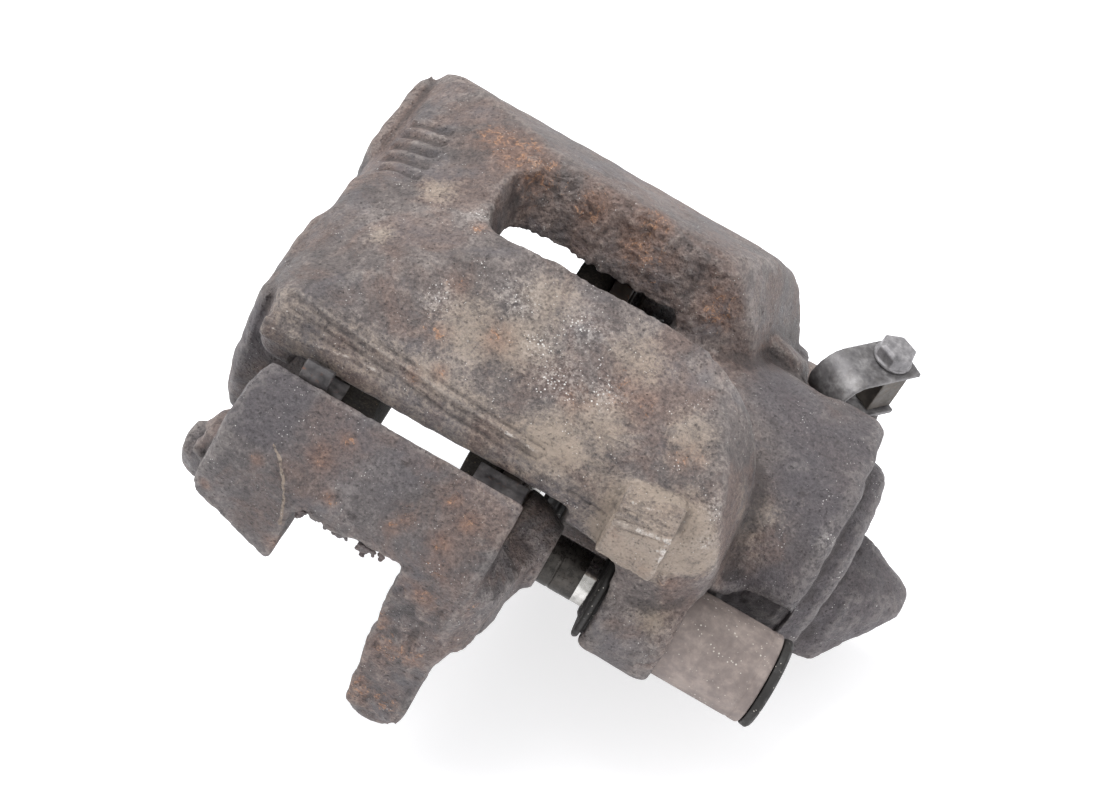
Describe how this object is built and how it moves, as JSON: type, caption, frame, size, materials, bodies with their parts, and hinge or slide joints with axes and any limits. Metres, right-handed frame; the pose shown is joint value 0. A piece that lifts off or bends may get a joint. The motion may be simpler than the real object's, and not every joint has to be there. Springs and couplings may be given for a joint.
{
  "type": "brake caliper",
  "caption": "Floating cast-iron brake caliper with its anchor bracket, pads, hollow piston, guide pins in bushes, bleed screw and hose clip.",
  "frame": {"origin": "middle of the bracket's inboard mounting face, between its two mounting bolt holes", "axes": "+X along the disc axis, inboard out of the mounting face; +Z radially outward from the disc's centre; +Y along the disc's rim"},
  "size_m": [0.1906, 0.174, 0.1186],
  "materials": {
    "bracket_iron": "rough casting, rusted",
    "housing_iron": "rough casting, grimy, rust patches",
    "plated_steel": "ground and plated",
    "black_rubber": "matt",
    "dusty_rubber": "smooth, coated in dust",
    "cap_plastic": "moulded",
    "pad_steel": "black paint, worn",
    "friction": "sintered friction compound",
    "spring_steel": "pressed sheet, dirty",
    "clip_steel": "zinc plate, dulled"
  },
  "bodies": {
    "bracket": {"caliper_bracket": "bracket_iron", "guide_pin_near": "plated_steel", "guide_pin_far": "plated_steel", "rail_clip_outer_near": "spring_steel", "rail_clip_outer_far": "spring_steel", "rail_clip_inner_near": "spring_steel", "rail_clip_inner_far": "spring_steel"},
    "housing": {"caliper_housing": "housing_iron", "piston_seal": "black_rubber", "piston_dust_boot": "black_rubber", "guide_bush_near": "dusty_rubber", "guide_bush_far": "dusty_rubber", "bush_cap_near": "cap_plastic", "bush_cap_far": "cap_plastic", "outer_pad_plate": "pad_steel", "outer_pad_lining": "friction", "outer_pad_shim": "pad_steel", "outer_pad_spring": "spring_steel", "hose_clip": "clip_steel", "hose_clip_spacer": "clip_steel", "hose_clip_bolt": "clip_steel"},
    "piston": {"caliper_piston": "plated_steel", "inner_pad_plate": "pad_steel", "inner_pad_lining": "friction", "inner_pad_shim": "pad_steel", "inner_pad_spring": "spring_steel"},
    "bleeder": {"bleed_screw": "clip_steel", "bleed_cap": "black_rubber"}
  },
  "joints": [
    {"name": "housing_slide", "type": "slide", "parent": "bracket", "child": "housing", "axis": [1, 0, 0], "range_m": [-0.007, 0.0012]},
    {"name": "piston_slide", "type": "slide", "parent": "housing", "child": "piston", "axis": [-1, 0, 0], "range_m": [-0.0012, 0.012]},
    {"name": "bleed_screw_turn", "type": "hinge", "parent": "housing", "child": "bleeder", "pos_m": [0.068, 0.024, 0.0205], "axis": [0, 0.5, -0.866], "range_deg": [0, 360]}
  ]
}
